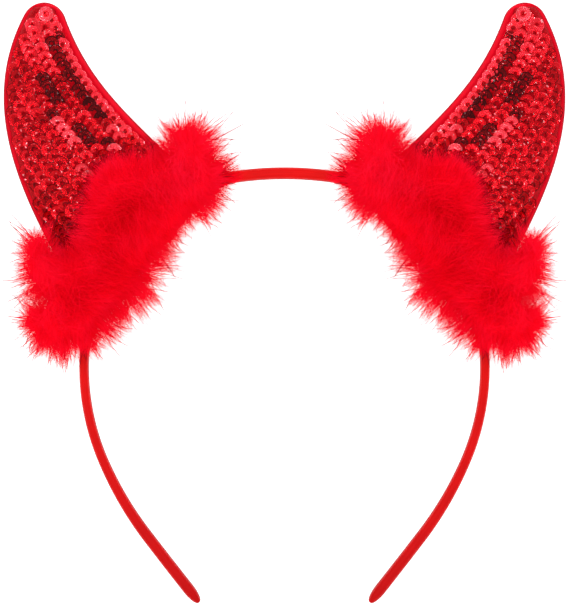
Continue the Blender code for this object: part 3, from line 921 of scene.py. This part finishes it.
# painted shade from near black through the film's red to the nearly white pink of the painted
# glints
SHADES = (
    (0.00, (0.045, 0.0, 0.001)),
    (0.20, (0.34, 0.0, 0.003)),
    (0.42, (0.72, 0.002, 0.008)),
    (0.66, (0.98, 0.030, 0.050)),
    (0.82, (0.99, 0.077, 0.10)),
    (1.00, (1.0, 0.30, 0.33)),
)


def ramp(finish, value, stops):
    """Colour that follows a value through stops of place and colour."""
    wire = finish.node("ShaderNodeValToRGB", {}, {"Fac": value})
    elements = wire.socket.node.color_ramp.elements
    for place, colour in stops[1:-1]:
        elements.new(place).color = dye(*colour)
    elements[0].color, elements[-1].color = dye(*stops[0][1]), dye(*stops[-1][1])
    return wire


sequin.paint(Base_Color=ramp(sequin, film, SHADES))
sequin.bump(dents, DENT_RELIEF, 0.6)

# Painted shade for each ring: a painted shadow at the hole, and a painted shadow or highlight at
# the cut edge.
edge_shadowed = random.uniform(0.0, 1.0, len(sewn)) < np.where(sewn_row == 0, *EDGE_SHADOW_SHARES)
edge_painted_light = np.where(edge_shadowed, EDGE_SHADOW, EDGE_HIGHLIGHT)
hole_shadow = np.where(sewn_row < 1, *HOLE_SHADOWS)
ring_shades = np.stack((shade + hole_shadow, shade, shade, shade + edge_painted_light), axis=1)
calm = np.clip(np.abs(shade - PLAIN_SHADE) * CALM_GAIN, 0.0, CALM_MOST)
film_marks = {
    "shade": np.broadcast_to(ring_shades[:, :, None], cups.shape[:3]),
    "calm": np.broadcast_to(calm[:, None, None], cups.shape[:3]),
}
add_pair("sequins", cups, [cup_faces], sequin, "sequin_cloth", marks=film_marks)

# %% [markdown]
# ## The marabou
#
# Marabou is down from a feather, sewn on a cord and wound into a ruff. The barbs of one
# turn stand together as a tuft, open at the root and drawn to a point. So the trim is a
# soft core, covered with tufts, and each tuft is some sixty thin barbs that lean to its tip.
# A height map keeps them off the band and the horn: it holds, for each square of a fine
# grid in plan, how high the solid things stand.

# %% How high the band and the horn stand
MAP_CELL = 0.8 * MM
MAP_LOW = np.array((-20.0, -110.0)) * MM
MAP_SHAPE = (170, 280)
SEQUINS_STAND = 0.6 * MM
# stations of the band's left half that the map takes in
PAST_MIDDLE = 20


def stamp(height_map, points):
    """Raise the map to the points that fall on its squares."""
    cell = ((points[..., :2] - MAP_LOW) / MAP_CELL).astype(int).reshape(-1, 2)
    np.maximum.at(height_map, (cell[:, 0], cell[:, 1]), points[..., 2].ravel())


def refined(grid, times):
    """A grid with rows and columns put between its own by straight lines."""
    for axis in (0, 1):
        size = grid.shape[axis]
        places = np.linspace(0, size - 1, (size - 1) * times + 1)
        low = np.minimum(places.astype(int), size - 2)
        share = np.expand_dims(places - low, tuple(k for k in range(3) if k != axis))
        grid = np.take(grid, low, axis) * (1 - share) + np.take(grid, low + 1, axis) * share
    return grid


solid_height = np.zeros(MAP_SHAPE)
stamp(solid_height, refined(cover_front, 3))
stamp(solid_height, refined(knit_points, 3) + (0.0, 0.0, SEQUINS_STAND))
band_front = band_points[len(band_points) // 2 - PAST_MIDDLE :, : BAND_COLUMNS // 2 + 1]
stamp(solid_height, refined(band_front, 3))


def ground_under(places):
    """Height of the floor, the band or the horn at plan places."""
    cell = ((places[..., :2] - MAP_LOW) / MAP_CELL).astype(int)
    cell = np.clip(cell, 0, np.array(MAP_SHAPE) - 1)
    return solid_height[cell[..., 0], cell[..., 1]]


def above_solids(points, clearance):
    """The points, raised where they would dip into the floor, the band or the horn."""
    ground = ground_under(points)
    raised = np.maximum(points[..., 2], ground + np.where(ground > 0.0, clearance, 0.0))
    return with_height(points[..., :2], raised)


# %% [markdown]
# The core's section is half a superellipse from the band's head side to the trim's reach,
# as in the CAD model. It is a closed skin whose ends are rounded off.

# %% Core of the trim
FUR_START = 16.5 * MM
FUR_LENGTH = 80.5 * MM
FUR_REACH = 25.5 * MM
FUR_HEIGHT = 25.7 * MM
FUR_SQUARENESS = 2.3
CORE_SHARE = 0.78
CORE_ENDS = (0.06, 0.97)
CORE_ROWS = 60
CORE_COLUMNS = 40
CORE_CLEARANCE = 0.5 * MM
CORE_END_POWER = 8
CORE_END_LEAST = 0.02
# share of the trim's length, reach outwards, height
FUR_SECTIONS = (
    (0.00, 0.46, 0.60),
    (0.05, 0.62, 0.75),
    (0.11, 0.74, 0.86),
    (0.20, 0.72, 0.94),
    (0.32, 0.90, 1.00),
    (0.45, 1.00, 1.00),
    (0.57, 0.86, 1.00),
    (0.67, 0.80, 0.98),
    (0.76, 0.92, 0.94),
    (0.84, 1.00, 0.88),
    (0.92, 0.94, 0.80),
    (0.97, 0.74, 0.68),
    (1.00, 0.48, 0.52),
)


def fur_surface(share, angle, size):
    """Point of the trim's form: angle 0 is its horn side, pi its head side.

    Across it goes as cos(angle) ^ (2 / squareness), and upwards as sin(angle) to the same.
    """
    shares, reaches, heights = np.array(FUR_SECTIONS).T
    reach = FUR_REACH * np.interp(share, shares, reaches)
    height = FUR_HEIGHT * np.interp(share, shares, heights)
    distance = FUR_START + FUR_LENGTH * share
    inner = -band_half(distance)
    across, up = squared_round(angle, FUR_SQUARENESS)
    outward = (inner + reach * size) / 2 + (reach * size - inner) / 2 * across
    return with_height(beside_band(distance, outward), height * size * up)


# %% [markdown]
# All the down has one dye. A mark for its tone runs from 0, a dark quill, through the red of
# the down to 1, its pink ends, and it also carries painted shade and painted highlights. The
# down lets light through, and a faint painted glow stands in for that light.

# %% Dyed down, with painted shade, highlights and glow
DOWN_TONES = (
    (0.00, (0.12, 0.008, 0.018)),
    (0.30, (0.58, 0.0, 0.001)),
    (0.60, (0.92, 0.0006, 0.014)),
    (1.00, (1.0, 0.012, 0.060)),
)
DOWN_PAINTED_GLOW = 0.08
DOWN_CLOUD_SIZE = 7.0 * MM
DOWN_CLOUD_GAIN = 0.22
PLAIN_TONE = 0.62

down = Finish("red_marabou_down", 0.9, Specular_IOR_Level=0.03)
clouds = down.noise(DOWN_CLOUD_SIZE, 1.0)
dye_and_painted_light = ramp(down, down.mark("tone") + DOWN_CLOUD_GAIN * (clouds - 0.5), DOWN_TONES)
down.paint(Base_Color=dye_and_painted_light, Emission_Color=dye_and_painted_light, Emission_Strength=DOWN_PAINTED_GLOW)

core_share = np.linspace(*CORE_ENDS, CORE_ROWS)[:, None] + np.zeros((1, CORE_COLUMNS))
core_angle = np.linspace(0.0, math.pi, CORE_COLUMNS)[None, :] + np.zeros((CORE_ROWS, 1))
end_round = np.linspace(-1.0, 1.0, CORE_ROWS)[:, None] + np.zeros((1, CORE_COLUMNS))
end_round = np.sqrt(np.clip(1.0 - end_round**CORE_END_POWER, CORE_END_LEAST, 1.0))
core = fur_surface(core_share, core_angle, CORE_SHARE * end_round)
core = above_solids(core, CORE_CLEARANCE)
core_faces = tube_faces(CORE_ROWS, CORE_COLUMNS, -1)
core_marks = {"tone": np.full(core.shape[:2], PLAIN_TONE)}
cores = add_pair("marabou_core", core, core_faces, down, "marabou", marks=core_marks)
for side_name, core_piece in cores:
    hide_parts(f"marabou_trim_{side_name}")

# %% [markdown]
# In plan the down ends along a wavy line with three lobes: one at the crown's side of the
# horn, one over the horn and one at the temple. Thin wisps stand out past that line, longer
# at some places than at others.

# %% Where the down ends
# plan place and length of the wisps, in millimetres, once round the trim
FUR_OUTLINE = (
    (21.5, 43.0, 4.0), (23.5, 49.0, 6.0), (26.0, 53.0, 8.0), (27.0, 56.5, 8.0),
    (30.5, 58.5, 6.5), (34.5, 59.5, 4.5), (38.0, 57.5, 5.5), (40.0, 55.0, 7.0),
    (42.0, 51.5, 4.0), (45.5, 49.5, 3.0), (50.0, 48.5, 3.0), (55.0, 48.5, 3.0),
    (59.0, 47.5, 3.0), (62.5, 45.0, 3.0), (65.0, 41.0, 3.0), (66.5, 35.5, 3.5),
    (68.0, 30.0, 3.5), (69.5, 24.5, 3.5), (71.5, 20.0, 3.0), (74.5, 17.5, 3.0),
    (77.5, 17.0, 3.0), (80.5, 19.5, 3.0), (83.0, 21.5, 9.0), (86.0, 20.5, 10.0),
    (87.5, 17.0, 5.0), (87.5, 12.5, 3.5), (86.5, 8.0, 9.0), (85.0, 4.0, 5.5),
    (82.0, 0.0, 2.0), (86.0, -3.0, 6.0), (88.0, -6.0, 5.0), (87.0, -10.0, 4.0),
    (84.5, -13.0, 6.0), (81.0, -15.5, 4.0), (76.0, -16.5, 6.5), (71.0, -15.5, 3.0),
    (67.5, -15.5, 3.0), (64.5, -13.0, 6.0), (61.5, -9.5, 7.0), (57.5, -5.5, 6.5),
    (53.5, -2.0, 6.5), (49.0, 1.5, 7.0), (46.5, 5.5, 5.5), (45.5, 10.0, 9.0),
    (45.0, 13.5, 7.0), (41.5, 18.0, 5.0), (37.0, 22.5, 3.5), (33.0, 27.0, 3.0),
    (28.5, 30.0, 6.0), (25.0, 33.0, 6.5), (22.5, 37.5, 5.0),
)
LINE_POINTS = 510
LINE_SMOOTHING = 4
NORMAL_REACH = 3


def fur_line():
    """The line as evenly spaced points (n, 3) with wisp lengths, and its outward normals."""
    corners = np.array(FUR_OUTLINE + FUR_OUTLINE[:1]) * MM
    steps = np.linalg.norm(np.diff(corners[:, :2], axis=0), axis=1)
    far = np.concatenate(([0.0], np.cumsum(steps)))
    stops = np.linspace(0.0, far[-1], LINE_POINTS, endpoint=False)
    line = np.stack([np.interp(stops, far, column) for column in corners.T], axis=1)
    shifts = range(-LINE_SMOOTHING, LINE_SMOOTHING + 1)
    line = sum(np.roll(line, shift, axis=0) for shift in shifts) / len(shifts)
    plan = line[:, :2]
    ahead = unit(np.roll(plan, -NORMAL_REACH, axis=0) - np.roll(plan, NORMAL_REACH, axis=0))
    return line, np.stack((-ahead[:, 1], ahead[:, 0]), axis=1)


def inside_line(points, line):
    """Whether plan points lie inside: a ray towards +x meets the line an odd number of times."""
    start, end = line[:, :2], np.roll(line[:, :2], -1, axis=0)
    above = points[:, 1, None]
    crosses = (start[:, 1] > above) != (end[:, 1] > above)
    share = (above - start[:, 1]) / (end[:, 1] - start[:, 1] + 1e-12)
    place = start[:, 0] + (end[:, 0] - start[:, 0]) * share
    return np.sum(crosses & (points[:, 0, None] < place), axis=1) % 2 == 1


line, line_normal = fur_line()
low, high = line[:, :2].min(axis=0), line[:, :2].max(axis=0)
print("the down ends within", np.round(low / MM), np.round(high / MM))

# %% [markdown]
# A tuft is made of barbs: thin tapered ribbons along curves that start side by side and
# close towards one tip. Most end short of the tip, and a few reach past it.

# %% Barbs and tufts
BARB_STEPS = np.array((0.0, 0.40, 0.75, 1.0))
BARB_WIDTHS = np.array((1.0, 0.85, 0.5))
BARB_CLEARANCE = 0.15 * MM
# a barb's middle: its share of the reach, and how much more than its root it strays sideways
MIDDLE_REACH = 0.55
MIDDLE_STRAY = 0.15
# share of the root's spread that is left at the tip
TIP_STRAY = 0.35
LUCK_POWER = 9


def barb_ribbons(root, middle, tip, width):
    """Flat tapered ribbons along quadratic Bezier curves: three pairs of points and a tip.

    The curve is (1 - t)^2 root + 2 (1 - t) t middle + t^2 tip, and the ribbon's flat side
    faces a way of its own.
    """
    t = BARB_STEPS[None, :, None]
    curve = (1 - t) ** 2 * root[:, None] + 2 * (1 - t) * t * middle[:, None] + t**2 * tip[:, None]
    flat = unit(np.cross(tip - root, random.standard_normal(root.shape)))
    half = width / 2 * BARB_WIDTHS[None, :, None] * flat[:, None]
    pairs = np.stack((curve[:, :3] - half, curve[:, :3] + half), axis=2).reshape(len(root), 6, 3)
    return above_solids(np.concatenate((pairs, curve[:, 3:]), axis=1), BARB_CLEARANCE)


def ribbon_faces(count):
    """Two quads and a triangle for each ribbon of seven points."""
    start = np.arange(count)[:, None] * 7
    quads = np.concatenate((start + (0, 1, 3, 2), start + (2, 3, 5, 4)))
    return [quads, start + (4, 5, 6)]


def tufts(root, direction, lengths, barbs, root_spread, tip_spread, width, ends):
    """Ribbons (tuft * barb, 7, 3), spread round each tuft's root and less so round its tip.

    ends gives the least share of the length that a barb has, what luck adds evenly and what
    it adds to a few.
    """
    count = len(root)
    first = unit(np.cross(direction, unit(random.standard_normal((count, 3)))))
    second = np.cross(direction, first)
    steps = random.standard_normal((4, count, barbs, 1))
    sideways = root_spread * (steps[0] * first[:, None] + steps[1] * second[:, None])
    strayed = tip_spread * (steps[2] * first[:, None] + steps[3] * second[:, None])
    luck = random.uniform(0.0, 1.0, (count, barbs, 1))
    share = ends[0] + ends[1] * luck + ends[2] * luck**LUCK_POWER
    reach_out = lengths[:, None, None] * share * direction[:, None]
    barb_root = root[:, None] + sideways
    barb_middle = barb_root + MIDDLE_REACH * reach_out + MIDDLE_STRAY * sideways
    barb_tip = root[:, None] + reach_out + TIP_STRAY * sideways + strayed
    curves = (part.reshape(-1, 3) for part in (barb_root, barb_middle, barb_tip))
    return barb_ribbons(*curves, width)


# %% [markdown]
# The front of the trim is covered by tufts whose tips lie evenly over the line's inside.
# They rise to a dome over the floor, the band or the horn: its height goes as
# sqrt(1 - (1 - t)^2), with t the distance from the line as a share of the shoulder's width.
# The down of each lobe is brushed away from the lobe's middle.

# %% Down over the front
FRONT_TUFTS = 560
FRONT_BARBS = 68
FRONT_LENGTH = 11.0 * MM
# spread at the root and at the tip, width of a barb, and the shares of the length
FRONT_SHAPE = (2.1 * MM, 1.1 * MM, 0.15 * MM, (0.55, 0.38, 0.20))
# how much a tuft is brushed off its lobe and out over the line, and how steeply it rises
BRUSHED_OFF = 0.95
BRUSHED_OUT = 0.8
FRONT_RISE = (0.30, 0.45)
FRONT_SCATTER = 0.17
FRONT_REACH = (0.85, 1.15)
FRONT_SUNK = 0.85
# steps that spread numbered points evenly over a square
EVEN_STEPS = np.array((0.7548776662, 0.5698402909))
SHOULDER = 12.0 * MM
FUR_TOP = 28.5 * MM
LOBES = np.array(((29.5, 46.5), (52.0, 34.0), (73.0, 1.0))) * MM
LOBE_RADIUS = 15.0 * MM
LOBE_SPREAD = 11.0 * MM
# plan place, radius and change of tone of the painted shade (darker) and painted highlight
# (lighter) spots
SHADE_AND_HIGHLIGHT_SPOTS = (
    (51.8, 32.0, 7.5, -0.17),
    (53.3, 9.7, 4.0, -0.15),
    (68.8, 5.9, 4.5, -0.16),
    (68.0, -1.0, 4.0, -0.14),
    (58.6, 25.0, 5.0, -0.18),
    (30.3, 47.0, 12.0, 0.14),
    (41.0, 39.0, 6.0, 0.12),
    (82.0, 12.0, 8.0, 0.06),
)
TONE_SCATTER = 0.03
# how much of the tip's extra tone each of a ribbon's seven points has
TONE_RISE = np.array((0.0, 0.0, 0.3, 0.3, 0.7, 0.7, 1.0))
FRONT_TIP_TONE = 0.05


def painted_spot_tone(places):
    """Tone at plan places with painted shade and highlights: a spot fades as exp(-(distance /
    radius)^2).
    """
    tone = np.full(len(places), PLAIN_TONE)
    for x, y, radius, change in SHADE_AND_HIGHLIGHT_SPOTS:
        apart = np.linalg.norm(places[:, :2] - np.array((x, y)) * MM, axis=1)
        tone += change * np.exp(-((apart / (radius * MM)) ** 2))
    return tone


def tuft_tones(tone, count, tip_gain):
    """Tone for each of the seven points of a ribbon: a little more towards its tip."""
    own = tone + TONE_SCATTER * random.standard_normal(len(tone))
    return np.repeat(own, count)[:, None] + tip_gain * TONE_RISE


number = np.arange(3 * FRONT_TUFTS)[:, None]
tip = low + (high - low) * ((0.5 + EVEN_STEPS * number) % 1)
tip = tip[inside_line(tip, line)][:FRONT_TUFTS]
apart = np.linalg.norm(tip[:, None] - line[None, :, :2], axis=2)
nearest = np.argmin(apart, axis=1)
shoulder = np.clip(apart.min(axis=1) / SHOULDER, 0.0, 1.0)[:, None]
ground = ground_under(tip)[:, None]
dome = ground + (FUR_TOP - ground) * np.sqrt(1.0 - (1.0 - shoulder) ** 2)
from_lobe = tip[:, None] - LOBES
pull = np.exp(-0.5 * np.sum(from_lobe**2, axis=2) / LOBE_SPREAD**2)[..., None]
brushed = np.sum(pull * from_lobe, axis=1) / np.sum(pull, axis=1) / LOBE_RADIUS
brushed /= np.maximum(1.0, np.linalg.norm(brushed, axis=1, keepdims=True))
plan_way = BRUSHED_OFF * brushed + BRUSHED_OUT * (1 - shoulder) * line_normal[nearest]
direction = np.concatenate((plan_way, FRONT_RISE[0] + FRONT_RISE[1] * shoulder), axis=1)
direction = unit(direction + FRONT_SCATTER * random.standard_normal(direction.shape))
lengths = FRONT_LENGTH * random.uniform(*FRONT_REACH, len(tip))
root = np.concatenate((tip, dome), axis=1) - FRONT_SUNK * lengths[:, None] * direction
front_ribbons = tufts(root, direction, lengths, FRONT_BARBS, *FRONT_SHAPE)
front_tones = tuft_tones(painted_spot_tone(tip), FRONT_BARBS, FRONT_TIP_TONE)
print("front tufts on a trim:", len(tip))

# %% [markdown]
# All along the line stand tufts that point outwards, at several heights. They thin out
# towards their tips, where they look pink against a white ground.

# %% Fringe
FRINGE_TUFTS = 340
FRINGE_BARBS = 58
# scatter is for x, y and z, and reach is a range in shares of the line's own wisp length
FRINGE_STAND = {
    "depth": 6.0 * MM,
    "heights": (1.0 * MM, 15.0 * MM),
    "raised": (0.0, 5.0 * MM),
    "steepness": 0.30,
    "scatter": (0.24, 0.24, 0.12),
    "reach": (0.50, 1.75),
}
FRINGE_SHAPE = (1.7 * MM, 0.45 * MM, 0.14 * MM, (0.45, 0.45, 0.20))
FRINGE_TIP_TONE = 0.16
# distances inside the line at which the band or the horn may lift a tuft's root
FEET = np.array((2.0, 4.0, 6.0)) * MM
# the golden section's step spreads numbered places evenly round the line
GOLDEN_STEP = 0.6180339887


def standing_out(count, first, depth, heights, raised, steepness, scatter, reach):
    """Line points, roots, directions and lengths of what stands out past the line.

    The roots lie a depth inside it, in a range of heights over the floor, or in the raised
    range over the band or the horn. The higher a root, the more steeply it points up.
    """
    chosen = ((np.arange(count) * GOLDEN_STEP + first) % 1 * LINE_POINTS).astype(int)
    place, normal = line[chosen], line_normal[chosen]
    ground = ground_under(place[:, None, :2] - FEET[:, None] * normal[:, None]).max(axis=1)
    rise = random.uniform(0.0, 1.0, count)
    over_floor, over_solids = (np.interp(rise, (0.0, 1.0), ends) for ends in (heights, raised))
    height = np.where(ground > MM, ground + over_solids, over_floor)
    strayed = random.standard_normal((count, 3)) * scatter
    direction = unit(with_height(normal, steepness * rise) + strayed)
    root = with_height(place[:, :2] - depth * normal, height)
    return place, root, direction, depth + MM + place[:, 2] * random.uniform(*reach, count)


edge_place, *fringe = standing_out(FRINGE_TUFTS, 0.0, **FRINGE_STAND)
fringe_ribbons = tufts(*fringe, FRINGE_BARBS, *FRINGE_SHAPE)
fringe_tones = tuft_tones(painted_spot_tone(edge_place), FRINGE_BARBS, FRINGE_TIP_TONE)
for side_name, side in SIDES:
    for part, ribbons, tones in (
        ("front", front_ribbons, front_tones),
        ("fringe", fringe_ribbons, fringe_tones),
    ):
        name, faces = f"marabou_{part}_{side_name}", ribbon_faces(len(ribbons))
        add_piece(name, ribbons, faces, down, "marabou", side, marks={"tone": tones})

# %% [markdown]
# Here and there a stiffer quill end stands out of the down. Against the white ground it
# looks thin and dark. A few strands lie along the band where the trim ends.

# %% Dark quill ends and strands along the band
QUILLS = 420
QUILL_STAND = {
    "depth": 1.0 * MM,
    "heights": (1.0 * MM, 13.0 * MM),
    "raised": (2.0 * MM, 2.0 * MM),
    "steepness": 0.25,
    "scatter": (0.30, 0.30, 0.12),
    "reach": (0.70, 2.30),
}
QUILL_WIDTH = 0.28 * MM
QUILL_BEND = 1.8 * MM
# tone of a ribbon's seven points, from its root to its tip
QUILL_TONES = (0.40, 0.40, 0.14, 0.14, 0.03, 0.03, 0.0)
STRANDS = 7
STRAND_BARBS = 34
STRAND_START = 21.5 * MM
STRAND_LENGTH = 11.0 * MM
# how far the strands start from the band's middle line, from the first to the last
STRAND_PLACES = (-1.5 * MM, 6.5 * MM)
STRAND_STAGGER = 1.5 * MM
STRAND_DIP = -0.05
STRAND_REACH = (0.75, 1.05)
STRAND_SHAPE = (0.7 * MM, 0.35 * MM, 0.15 * MM, (0.5, 0.5, 0.1))

root, direction, lengths = standing_out(QUILLS, 0.37, **QUILL_STAND)[1:]
reach = lengths[:, None] * direction
bend = QUILL_BEND * np.cross(direction, unit(random.standard_normal((QUILLS, 3))))
quills = barb_ribbons(root, root + 0.5 * reach - bend, root + reach + bend, QUILL_WIDTH)
quill_tones = np.tile(QUILL_TONES, (QUILLS, 1))

strand_s = STRAND_START + np.linspace(0.0, STRAND_STAGGER, STRANDS)
strand_plan = beside_band(strand_s, np.linspace(*STRAND_PLACES, STRANDS))
root = with_height(strand_plan, np.full(STRANDS, BAND_DEPTH + MM))
heading = band_path(strand_s)[2]
plan_way = np.stack((-np.cos(heading), np.sin(heading)), axis=1)
direction = with_height(plan_way, np.full(STRANDS, STRAND_DIP))
lengths = STRAND_LENGTH * np.linspace(*STRAND_REACH, STRANDS)
strands = tufts(root, unit(direction), lengths, STRAND_BARBS, *STRAND_SHAPE)
strand_tones = tuft_tones(np.full(STRANDS, PLAIN_TONE), STRAND_BARBS, FRONT_TIP_TONE)
wisps = np.concatenate((quills, strands))
wisp_marks = {"tone": np.concatenate((quill_tones, strand_tones))}
add_pair("marabou_wisps", wisps, ribbon_faces(len(wisps)), down, "marabou", marks=wisp_marks)
